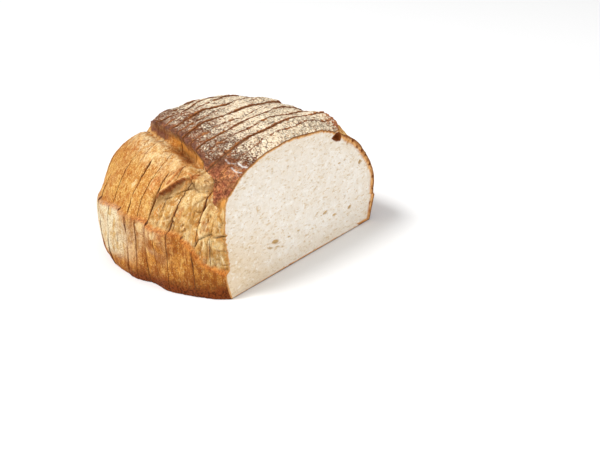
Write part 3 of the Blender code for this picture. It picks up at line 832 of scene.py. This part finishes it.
def crust_material(mottle, flour):
    """Baked crust: golden torn walls, a toasted band, and a dark floured lid."""
    material, tree, shader = new_material("baked_crust")
    place = tree.place()
    browning, blotch, speckle = tree.group(mottle, Place=place, Patch=70.0, Speck=640.0)
    grit = tree.noise(place, 980.0, 2.0, 0.6)
    broad = tree.noise(place, 30.0, 2.0, 0.5, 0.5)
    drawn = tree.noise(tree.place((1.0, 1.0, 0.3)), 300.0, 3.0, 0.6, 0.5)
    streak = tree.noise(tree.place((0.8, 1.1, 0.45)), 620.0, 3.0, 0.65, 0.6)
    strands = tree.noise(tree.place((1.2, 1.2, 0.25)), 430.0, 3.0, 0.65, 0.8)
    streaks = tree.noise(tree.place((1.0, 1.0, 0.35)), 260.0, 3.0, 0.6, 0.4)

    golden = tree.layers(tree.mix(browning, (226, 172, 88), (202, 134, 54)), [
        (broad, 0.46, 0.64, 0.4, (190, 112, 42)),
        (drawn, 0.52, 0.66, 0.75, (186, 106, 34)),
        (drawn, 0.46, 0.32, 0.7, (244, 204, 130)),
        ("near_lid", tree.tones(drawn, 0.42, 0.6, (252, 230, 184), (222, 164, 96))),
        (blotch, 0.5, (186, 108, 38)),
        (streak, 0.53, 0.64, 0.75, (164, 92, 30)),
        (streak, 0.45, 0.34, 0.7, (248, 208, 132)),
        (grit, 0.53, 0.65, 0.5, (152, 82, 26)),
        (grit, 0.45, 0.34, 0.45, (250, 218, 150)),
        ("strip", (214, 140, 52)),
    ])
    pale = tree.layers(tree.mix(browning, (232, 200, 138), (208, 156, 82)), [
        (blotch, 0.6, (206, 132, 54)),
        (strands, 0.47, 0.34, 0.85, (252, 232, 186)),
        (strands, 0.53, 0.66, 0.75, (176, 108, 44)),
        (grit, 0.52, 0.66, 0.5, (176, 116, 54)),
        # painted shade in the troughs and folds of the torn crust
        ("valley_shade", (156, 108, 54)),
        (speckle, 0.3, (188, 138, 76)),
    ])
    band = tree.layers(tree.tones(streaks, 0.42, 0.6, (208, 140, 58), (156, 86, 20)), [
        (drawn, 0.47, 0.36, 0.65, (238, 184, 98)),
        (streak, 0.53, 0.64, 0.7, (142, 76, 20)),
        (blotch, 0.6, (152, 78, 18)),
        ("band_pale", tree.tones(streaks, 0.44, 0.68, (254, 244, 206), (230, 192, 124))),
        (speckle, 0.4, (164, 98, 40)),
        (grit, 0.54, 0.66, 0.6, (150, 84, 30)),
        (grit, 0.4, 0.3, 0.55, (246, 208, 144)),
    ])
    density = tree.mask("flour")
    dust = tree.group(flour, Place=place, Density=density, Plate=tree.mask("plate"))
    tip = tree.tones(drawn, 0.46, 0.56, (234, 158, 98), (182, 98, 60))
    lid = tree.layers(tree.mix(browning, (144, 82, 50), (100, 54, 36)), [
        ("lid_rim", tree.mix(blotch, (108, 68, 62), (138, 82, 58))),
        ("lid_tip", tree.mix(browning, tip, (154, 78, 52))),
        ("bare", 0.8, tree.tones(drawn, 0.42, 0.58, (216, 142, 78), (138, 70, 38))),
        (tree.span(density, 0.55, 1.0, 0.1, 0.5), (206, 150, 104)),
        (grit, 0.53, 0.65, 0.7, (76, 38, 26)),
        (grit, 0.44, 0.34, 0.4, (206, 150, 106)),
        (dust["Flour"], tree.mix(dust["Grain"], (255, 246, 224), (244, 216, 174))),
        (dust["Crackle"], 0.75, (88, 48, 30)),
        ("scratch", (246, 240, 232)),
    ])
    colour = tree.layers(golden, [
        ("torn", pale),
        ("band", band),
        # painted shade in the flap's hollow and the sheltered dip
        ("tan", tree.mix(drawn, (188, 152, 104), (148, 112, 66))),
        # painted highlights on the crest, raised folds and ridges, with pale dough spots and strands
        ("pale_and_highlight", tree.tones(streak, 0.4, 0.6, (252, 226, 174), (240, 198, 126))),
        ("ember", tree.tones(streak, 0.42, 0.58, (222, 138, 62), (160, 80, 28))),
        ("scorch", 0.78, tree.tones(grit, 0.42, 0.58, (190, 100, 38), (100, 40, 18))),
        # toasted foot, with painted shade under the crest and in the soft hollow
        ("toast_and_shade", tree.mix(speckle, (134, 64, 14), (80, 34, 5))),
        ("rim_shade", tree.mix(blotch, (112, 64, 52), (150, 90, 54))),
        ("lid", lid),
        ("lip", tree.mix(speckle, (168, 98, 46), (120, 66, 30))),
        # painted shade in the gaping cuts, creases and furrow, with dark crust showing in the lid's flour
        # cracks
        ("dark", (60, 30, 12)),
    ])
    tree.join(colour, shader.inputs["Base Color"])
    tree.join(tree.span(speckle, 0.0, 1.0, 0.6, 0.8), shader.inputs["Roughness"])
    shader.inputs["Specular IOR Level"].default_value = 0.12
    height = tree.math("MULTIPLY", tree.noise(place, 850.0, 4.0, 0.7), 1.3)
    pits = tree.span(tree.voronoi(place, 480.0), 0.1, 0.5)
    for pattern, share in ((pits, 0.5), (streak, -1.2), (drawn, -1.2), (dust["Flour"], 0.45)):
        height = tree.math("ADD", height, tree.math("MULTIPLY", pattern, share))
    tree.bump(height, 0.8, shader)
    return material


def crumb_material(mottle):
    """Cream crumb with fine pores, inside a golden crust line."""
    material, tree, shader = new_material("bread_crumb")
    place = tree.place()
    browning, blotch, speckle = tree.group(mottle, Place=place, Patch=75.0, Speck=760.0)
    clouds = tree.noise(tree.place((0.8, 1.0, 1.1)), 210.0, 4.0, 0.65, 0.4)
    flecks = tree.noise(tree.place((0.55, 1.0, 1.3)), 440.0, 3.0, 0.7, 0.5)
    flecks = tree.math("ADD", flecks, tree.math("MULTIPLY", tree.mask("warm"), 0.035))
    rind = tree.layers(tree.mix(blotch, (224, 162, 92), (184, 108, 48)), [(speckle, 0.45, (240, 204, 146))])
    colour = tree.layers(tree.mix(browning, (242, 235, 225), (237, 227, 213)), [
        ("warm", (228, 208, 180)),
        (clouds, 0.5, 0.66, 0.35, (232, 216, 190)),
        (clouds, 0.46, 0.34, 0.5, (255, 252, 247)),
        (flecks, 0.57, 0.64, 0.85, (212, 186, 148)),
        (speckle, 0.15, (230, 214, 190)),
        # painted shade inside the pores
        ("pore", (206, 174, 124)),
        ("rind", rind),
        ("rind_layer", 0.62, (160, 92, 44)),
        ("rind_dark", (112, 60, 26)),
        # painted shade in the pocket and the large pores by the rind
        ("pocket", (142, 78, 32)),
    ])
    tree.join(colour, shader.inputs["Base Color"])
    shader.inputs["Roughness"].default_value = 0.9
    shader.inputs["Specular IOR Level"].default_value = 0.2
    bubbles = tree.span(tree.voronoi(place, 430.0), 0.0, 0.6)
    tree.bump(tree.math("ADD", bubbles, tree.noise(place, 620.0, 4.0, 0.75)), 0.55, shader)
    return material


# ---------------- pieces
def new_mesh(form, name):
    """Turns a finished edit mesh into a named mesh."""
    mesh = bpy.data.meshes.new(name)
    form.to_mesh(mesh)
    form.free()
    return mesh


def write_points(mesh, x, y, z, index):
    """Moves every vertex of a slice to its place in the part's frame."""
    places = stacked(x + slice_shift(index) - SIDE_MIDDLE, y - LOAF_LENGTH / 2.0, z)
    mesh.vertices.foreach_set("co", places.astype(np.float32).ravel())
    mesh.update()


def read_points(mesh):
    """Every vertex's place."""
    flat = np.empty(len(mesh.vertices) * 3, dtype=np.float32)
    mesh.vertices.foreach_get("co", flat)
    return flat.reshape(-1, 3).astype(float)


def write_masks(mesh, masks):
    """Keeps masks on the vertices for the material."""
    for name, values in masks.items():
        made = mesh.attributes.new(name, "FLOAT", "POINT")
        made.data.foreach_set("value", np.clip(values, 0.0, 1.0).astype(np.float32))


def colour_masks(mesh, zones, angle, x, y, z):
    """Works out the crust's colour masks from the zones of the form."""
    lid = zones["lid"]
    off_lid = 1.0 - lid
    torn = zones["torn"]
    fine = zones["fine"]
    patch = zones["patch"]
    past_left = zones["past_left"]
    inner = np.minimum(-past_left, -zones["past_right"])
    raised = zones["raised"]

    # flour on the lid, thin by its edges and its tip and off the lips of the cuts
    front_right = smooth((0.04 - y) / 0.022) * smooth((zones["past_right"] + 0.017) / 0.014)
    density = FLOUR_LEAST + FLOUR_RISE * smooth((-past_left - 0.008) / 0.06)
    density = density - 0.3 * smooth((0.034 - y) / 0.022) * smooth((angle - 122.0) / 16.0)
    density = density + 0.1 * cloud(stacked(x, y, z), 0.014, 317) - 0.42 * front_right
    density = density * smooth((inner - 0.0015) / 0.005) * (1.0 - 0.85 * most(zones["lip"], zones["bare"]))
    front_tip = smooth((0.042 - y) / 0.016) * smooth((angle - 133.0 - 150.0 * y) / 5.0 + 0.4 * patch)

    # darker bake, and painted shade under the crest's overhang, in the soft hollow, down the furrow, in the
    # creases and in the gaping cuts
    rim_line = hump(zones["above_rim"] + 0.0006, 0.0017) * smooth(0.75 + 0.5 * patch)
    # painted shade under the crest's overhang
    shade_under_crest = hump(zones["below_ear"] - 0.0015, 0.0012) * smooth(zones["crest"] * 2.2)
    foot = 0.018 - 0.009 * smooth((y - 0.07) / 0.04) + 0.004 * patch
    toast_and_shade = most(smooth((foot - z) / 0.015), 0.11 * smooth((y - 0.08) / 0.03),
                 0.85 * shade_under_crest * smooth(0.8 + 0.4 * fine),
                 0.7 * smooth(1.2 * zones["soft_hollow"] / 2.8 - 0.2 + 0.2 * fine))
    ember = most(0.85 * smooth((zones["crest"] - 0.72 + 0.15 * fine) / 0.2), 0.7 * rim_line,
                 0.75 * smooth((raised - 0.55 + 0.2 * fine) / 0.3),
                 0.66 * zones["brown_spot"] * smooth(0.62 + 0.7 * fine))
    rim_shade = 0.9 * smooth((0.0052 + 0.0018 * patch - past_left) / 0.0022)
    rim_shade = rim_shade * smooth((past_left + 0.005) / 0.003)
    rim_shade = rim_shade * smooth((y - 0.086) / 0.012) * smooth((0.136 - y) / 0.016)
    # painted shade down the furrow; below, the gaping cuts and creases also get painted shade, while the
    # lid's flour cracks show real dark crust
    furrow_shade = 0.15 * zones["furrow"] * smooth((past_left - 0.0045) / 0.003)
    dark = most(0.85 * zones["slit"], smooth(zones["creases"] / 2.0 - 0.45), 0.55 * zones["crack"], furrow_shade)

    # paler dough, with painted highlights on the crest, the raised folds and the torn ridges, and painted
    # shade (tan) in the flap's hollow and the sheltered dip
    pale_and_highlight = most(0.55 * smooth((zones["crest"] - 0.15) / 0.3) + 0.45 * smooth(raised / 0.4),
                  0.6 * zones["pale_spot"], smooth(1.3 * zones["strand"] - 0.2 + 0.15 * fine),
                  0.75 * torn * smooth(0.9 * zones["ridges"] - 0.1),
                  0.1 * smooth((0.088 - y) / 0.025) * (1.0 - zones["band"]) * (1.0 - torn))
    # painted shade in the flap's hollow and the sheltered dip, both also sunk in the relief
    tan = most(0.75 * smooth((zones["hollow"] - 0.15) / 0.6),
               0.75 * smooth(1.3 * zones["shelter"] - 0.15 + 0.15 * fine))
    behind = smooth((y - 0.066) / 0.045) * smooth((z - 0.008) / 0.012) * smooth(0.8 + 0.4 * patch)
    middle = 0.3 * smooth((y - 0.036) / 0.02) * smooth((z - 0.014) / 0.012) * smooth(0.6 + patch)
    pale = most(behind, middle) * (0.35 + 0.65 * smooth((angle - 100.0) / 50.0))
    pale = pale * (1.0 - 0.6 * smooth((y - 0.145) / 0.02))
    near_lid = smooth((0.038 - past_left) / 0.024) * smooth((y - 0.05) / 0.025)
    strip_width = 0.009 - 0.0065 * smooth((y - 0.078) / 0.022)
    near_lid = near_lid * smooth((past_left - strip_width) / 0.006) * (0.75 + 0.35 * patch)

    write_masks(mesh, {
        "lid": lid,
        "lid_rim": 1.0 - smooth((inner - 0.001) / 0.005),
        "lid_tip": most(front_tip, 0.65 * front_right),
        "flour": density,
        "plate": zones["plate"],
        "scratch": zones["scratch"],
        "bare": zones["bare"],
        "near_lid": near_lid * smooth((angle - 104.0) / 22.0),
        "strip": 0.85 * hump(past_left - 0.003, 0.0026) * smooth((0.092 - y) / 0.014),
        "torn": torn,
        # painted shade in the troughs and folds of the torn crust
        "valley_shade": 0.55 * smooth(-0.1 - 0.9 * zones["ridges"]) + 0.65 * zones["folds"],
        "band": zones["band"] * off_lid,
        "band_pale": pale,
        "pale_and_highlight": pale_and_highlight * off_lid,
        "tan": tan * off_lid,
        "ember": ember * off_lid,
        "toast_and_shade": toast_and_shade * off_lid,
        "rim_shade": rim_shade * off_lid,
        "scorch": smooth(1.35 * zones["scorch"] - 0.25 + 0.25 * fine),
        "lip": (0.75 - 0.25 * lid) * zones["lip"],
        "dark": dark,
    })


def rind_masks(mesh, on_cut, inward, angle, points):
    """Marks the crust's own thickness where it shows on a cut."""
    thickness = rind_thickness(angle)
    wander = 0.00045 * cloud(points, 0.0035, 411)
    rind = 1.0 - smooth((inward + wander - 0.62 * thickness) / (0.55 * thickness))
    right = smooth((60.0 - angle) / 20.0)
    spots = smooth(0.1 + 1.8 * cloud(points, 0.0042, 421)) * right * smooth(1.3 - inward / (0.5 * thickness))
    dark = smooth(1.25 - inward / (0.0008 + 0.24 * thickness)) * (1.0 - 0.7 * smooth((angle - 146.0) / 10.0))
    layered = stacked(np.radians(angle) * ARC_RADIUS / 2.4, 1.5 * inward)
    layers = smooth(0.25 + 2.4 * cloud(layered, 0.0013, 433)) * (0.25 + 0.75 * right)
    write_masks(mesh, {
        "rind": np.where(on_cut, rind, 1.0),
        "rind_dark": np.where(on_cut, most(dark, spots * rind * 0.8), 1.0) * 0.8,
        "rind_layer": np.where(on_cut, layers * smooth(1.3 - inward / (1.15 * thickness)), 0.0),
    })


def finish_piece(name, mesh):
    """Puts a finished mesh into the scene in place of its plain solid."""
    for material in MATERIALS:
        mesh.materials.append(material)
    mesh.shade_smooth()
    mesh.set_sharp_from_angle(angle=math.radians(SHARP_ANGLE))
    piece = bpy.data.objects.new(mesh.name, mesh)
    bpy.context.scene.collection.objects.link(piece)
    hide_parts(name)
    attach(piece, "root")


def stand_back(index, angle, first_cut, last_cut):
    """Places of a slice's two crust edges, and how widely the cuts beside them gape."""
    start = index * SLICE_PITCH
    arc_place = stacked(np.radians(angle) * ARC_RADIUS, 0.0)
    left, right = lid_edges(np.full_like(angle, start))
    lid = smooth((left - angle) / 3.0) * smooth((angle - right) / 3.0)
    front_gape = cut_openness(index, angle, lid, arc_place) * first_cut
    back_gape = cut_openness(index + 1, angle, lid, arc_place) * last_cut
    low = start + first_cut * (EDGE_GAP + GAPE_REACH * front_gape)
    high = start + SLICE_PITCH - last_cut * (EDGE_GAP + GAPE_REACH * back_gape)
    return low, high, front_gape, back_gape


def crowded(along):
    """Draws evenly spaced rings towards both ends."""
    return along - RING_CROWDING * np.sin(math.tau * along) / math.tau


def ring_piece(name, index, rings, is_heel):
    """One slice, or the heel: a finely ringed closed body of crust with crumb on its cuts."""
    form = bmesh.new()
    bmesh.ops.create_cone(form, cap_ends=True, cap_tris=False, segments=ALL_LINES,
                          radius1=1.0, radius2=1.0, depth=1.0)
    long_edges = [edge for edge in form.edges if abs(edge.verts[0].co.z - edge.verts[1].co.z) > 0.5]
    bmesh.ops.subdivide_edges(form, edges=long_edges, cuts=rings - 1, use_grid_fill=True)
    caps = [face for face in form.faces if len(face.verts) > 4]
    bmesh.ops.inset_individual(form, faces=caps, thickness=RIND_INSET, depth=0.0)
    for face in form.faces:
        is_cut = face.normal.z > 0.5 or (face.normal.z < -0.5 and not is_heel)
        face.material_index = 1 if is_cut else 0
    mesh = new_mesh(form, name + "_bread")

    unit = read_points(mesh)
    reach = np.hypot(unit[:, 0], unit[:, 1])
    on_cap = reach < 1.0 - RIND_INSET / 2.0
    line = np.rint(np.arctan2(unit[:, 1], unit[:, 0]) / math.tau * ALL_LINES) % ALL_LINES
    along = 0.5 - unit[:, 2]
    angle = spread_lines(line, np.full_like(along, index * SLICE_PITCH))
    low, high, front_gape, back_gape = stand_back(index, angle, True, not is_heel)
    end = (index + 1) * SLICE_PITCH - CUT_GAP / 2.0
    if is_heel:
        end = LOAF_LENGTH - HEEL_TIP
        high = np.full_like(low, end)
        along = np.sin(along * math.pi / 2.0)
    else:
        along = crowded(along)
    y = low + (high - low) * along
    angle = spread_lines(line, y)
    mouths = [(front_gape, y - low), (back_gape, high - y)][:1 if is_heel else 2]
    x, z, zones = crust_surface(angle, y, index, along * (not is_heel), mouths)

    # the rims of the cuts, and the flat crumb inside them
    middle_x = core_x(y)
    x = np.where(on_cap, middle_x + (x - middle_x) * reach, x)
    z = np.where(on_cap, CAP_CENTRE_HEIGHT + (z - CAP_CENTRE_HEIGHT) * reach, z)
    cap_y = np.where(along < 0.5, index * SLICE_PITCH + CUT_GAP / 2.0, end)
    y = np.where(on_cap, cap_y, y)
    write_points(mesh, x, y, z, index)
    colour_masks(mesh, zones, angle, x, y, z)
    write_masks(mesh, {"rind": 1.0 - on_cap, "rind_dark": 1.0 - on_cap})
    finish_piece(name, mesh)


def square_to_outline(across, up):
    """Angle on the section's outline for each border point of a square."""
    right = -BASE_ANGLE + (FACE_RIGHT_CORNER + BASE_ANGLE) * (up + 1.0) / 2.0
    top = FACE_RIGHT_CORNER + (FACE_LEFT_CORNER - FACE_RIGHT_CORNER) * (1.0 - across) / 2.0
    left = FACE_LEFT_CORNER + (180.0 + BASE_ANGLE - FACE_LEFT_CORNER) * (1.0 - up) / 2.0
    spread = CORE_HEIGHT / math.tan(math.radians(BASE_ANGLE)) * across
    base = np.degrees(np.arctan2(-CORE_HEIGHT, spread)) % 360.0
    angle = np.where(across >= 1.0 - 1e-6, right, np.where(up >= 1.0 - 1e-6, top, left))
    on_base = (up <= -1.0 + 1e-6) & (np.abs(across) < 1.0 - 1e-6)
    return np.where(on_base, base, angle)


def corner_rank(part):
    """Ranks an edge or a face by its lowest corner, then by its highest."""
    corners = [corner.index for corner in part.verts]
    return RANK_STEP * min(corners) + max(corners)


def front_form(name, rings):
    """A fine grid for the cut face, its rim drawn back in rings and closed behind."""
    form = bmesh.new()
    bmesh.ops.create_grid(form, x_segments=FACE_COLUMNS, y_segments=FACE_ROWS, size=1.0)
    rim = [edge for edge in form.edges if edge.is_boundary]
    for ring in range(rings + 1):
        grown = bmesh.ops.extrude_edge_only(form, edges=rim)["geom"]
        corners = [item for item in grown if isinstance(item, bmesh.types.BMVert)]
        rim = [item for item in grown if isinstance(item, bmesh.types.BMEdge) and item.is_boundary]
        if ring < rings:
            bmesh.ops.translate(form, verts=corners, vec=(0.0, 0.0, -1.0))
        else:
            bmesh.ops.scale(form, verts=corners, vec=(1.0 - RIND_INSET, 1.0 - RIND_INSET, 1.0))
    bmesh.ops.holes_fill(form, edges=rim, sides=0)
    bmesh.ops.recalc_face_normals(form, faces=form.faces[:])

    # the rings come in any order, so edges and faces are put in one that is the same each time
    form.verts.index_update()
    form.edges.sort(key=corner_rank)
    form.faces.sort(key=corner_rank)
    for face in form.faces:
        face.material_index = 1 if face.normal.z ** 2 > 0.5 else 0
    return new_mesh(form, name + "_bread")


def front_slice(name, rings):
    """The first slice: its cut face is crumb with real pores, closed round by its crust."""
    mesh = front_form(name, rings)
    unit = read_points(mesh)
    on_face = unit[:, 2] > -0.5
    reach = np.maximum(np.abs(unit[:, 0]), np.abs(unit[:, 1]))
    on_back = (unit[:, 2] < 0.5 - rings) & (reach < 1.0 - RIND_INSET / 2.0)
    on_cut = on_face | on_back
    border = np.clip(unit / np.maximum(reach, 1e-9)[:, None], -1.0, 1.0)
    angle = square_to_outline(border[:, 0], border[:, 1])
    along = crowded(-unit[:, 2] / rings)
    low, high, _, back_gape = stand_back(0, angle, False, True)
    y = low + (high - low) * along
    x, z, zones = crust_surface(angle, y, 0, along, [(back_gape, high - y)])

    # the face: squares shrunk towards its middle, with pores pressed in
    middle_x = core_x(0.0)
    inward = (1.0 - reach) * np.hypot(x - middle_x, z - FACE_CENTRE_HEIGHT)
    x = middle_x + (x - middle_x) * np.where(on_cut, reach, 1.0)
    z = np.where(on_cut, FACE_CENTRE_HEIGHT + (z - FACE_CENTRE_HEIGHT) * reach, z)
    flat = np.stack([x, np.zeros_like(x), z], axis=1)
    inside = smooth((inward - 1.1 * rind_thickness(angle)) / 0.0014)
    pores = small_pores(flat) * inside
    named = large_pores(x, z)
    into_pocket = inside_pocket(x, z)
    sink = 0.001 * pores + named
    sink = sink + POCKET_DEPTH * smooth((into_pocket + 0.0004 * cloud(flat, 0.003, 431)) / 0.0012)
    sink = sink + (0.00022 * rough(flat, 0.003, 401) + 0.00035) * inside
    rounding = 0.0004 * np.clip(1.0 - inward / 0.0007, 0.0, 1.0) ** 2
    y = np.where(on_face, sink + rounding, y)
    y = np.where(on_back, SLICE_PITCH - CUT_GAP / 2.0, y)
    write_points(mesh, x, y, z, 0)
    colour_masks(mesh, zones, angle, x, y, z)
    # the pores, the pocket and the large pits by the rind get painted shade in their colour
    pits = smooth(named / 0.0012)
    shaded = most(smooth((into_pocket + 0.0008) / 0.0007), pits * smooth(1.6 - inward / 0.004))
    low_left = smooth((-0.01 - x) / 0.06) * smooth((0.066 - z) / 0.05)
    write_masks(mesh, {
        "pore": np.where(on_face, most(0.9 * pores, pits), 0.0),
        "pocket": np.where(on_face, shaded, 0.0),
        "warm": 0.35 * smooth(1.2 - inward / 0.02) + 0.9 * low_left,
    })
    rind_masks(mesh, on_cut, np.where(on_back, 0.01, inward), angle, flat)
    finish_piece(name, mesh)


def side_middle():
    """How far the loaf's own middle stands to the right of its core line."""
    line = np.arange(0.0, ALL_LINES, 4.0)
    sides = []
    for index in range(SLICE_COUNT):
        for part in (0.0, 0.5, 1.0):
            y = np.full_like(line, (index + part) * SLICE_PITCH)
            x, _, _ = section(spread_lines(line, y), y)
            sides.extend(np.array([x.min(), x.max()]) + slice_shift(index))
    return (min(sides) + max(sides)) / 2.0


SIDE_MIDDLE = side_middle()
mottle_group = baked_mottle_group()
MATERIALS = [crust_material(mottle_group, flour_dust_group()), crumb_material(mottle_group)]

front_slice("slice_01", FACE_RINGS)
for index in range(1, SLICE_COUNT):
    ring_piece(f"slice_{index + 1:02d}", index, SLICE_RINGS, False)
ring_piece("heel", SLICE_COUNT, HEEL_RINGS, True)


# ---------------- stage, light and camera
def pale_floor():
    """A broad white floor under the loaf."""
    form = bmesh.new()
    bmesh.ops.create_grid(form, x_segments=1, y_segments=1, size=FLOOR_HALF_SIZE)
    floor = bpy.data.objects.new("floor", new_mesh(form, "floor"))
    floor.location.z = -FLOOR_DROP
    bpy.context.scene.collection.objects.link(floor)
    material, _, shader = new_material("pale_floor")
    shader.inputs["Base Color"].default_value = (0.9, 0.9, 0.9, 1.0)
    shader.inputs["Roughness"].default_value = 0.9
    floor.data.materials.append(material)


def soft_light(name, place, size, power):
    """A large soft lamp, aimed at the loaf."""
    lamp = bpy.data.lights.new(name, "AREA")
    lamp.shape = "DISK"
    lamp.size = size
    lamp.energy = power
    holder = bpy.data.objects.new(name, lamp)
    holder.location = place
    holder.rotation_euler = (LOAF_MIDDLE - Vector(place)).to_track_quat("-Z", "Y").to_euler()
    bpy.context.scene.collection.objects.link(holder)


LOAF_MIDDLE = Vector((0.0, 0.0, 0.05))
VIEW_TURN = math.radians(-51.0)
VIEW_RISE = math.radians(26.0)
VIEW_DISTANCE = 0.866
AIM = Vector((0.0478 - SIDE_MIDDLE, 0.0401 - LOAF_LENGTH / 2.0, 0.0))


def studio():
    """White surroundings, soft lamps and the camera."""
    world = bpy.data.worlds.new("studio")
    world.use_nodes = True
    backdrop = world.node_tree.nodes["Background"]
    backdrop.inputs["Color"].default_value = (1.0, 1.0, 1.0, 1.0)
    backdrop.inputs["Strength"].default_value = 0.52
    bpy.context.scene.world = world
    soft_light("lamp_above", (-1.5, 0.7, 2.5), 1.1, 77.0)
    soft_light("lamp_front", (0.7, -3.0, 1.8), 1.4, 33.0)

    lens = bpy.data.cameras.new("camera")
    lens.lens = 60.0
    lens.sensor_width = 36.0
    camera = bpy.data.objects.new("camera", lens)
    level = math.cos(VIEW_RISE)
    outward = Vector((math.sin(VIEW_TURN) * level, -math.cos(VIEW_TURN) * level, math.sin(VIEW_RISE)))
    camera.location = AIM + VIEW_DISTANCE * outward
    camera.rotation_euler = (-outward).to_track_quat("-Z", "Y").to_euler()
    bpy.context.scene.collection.objects.link(camera)
    bpy.context.scene.camera = camera
    bpy.context.scene.view_settings.view_transform = "Standard"


pale_floor()
studio()
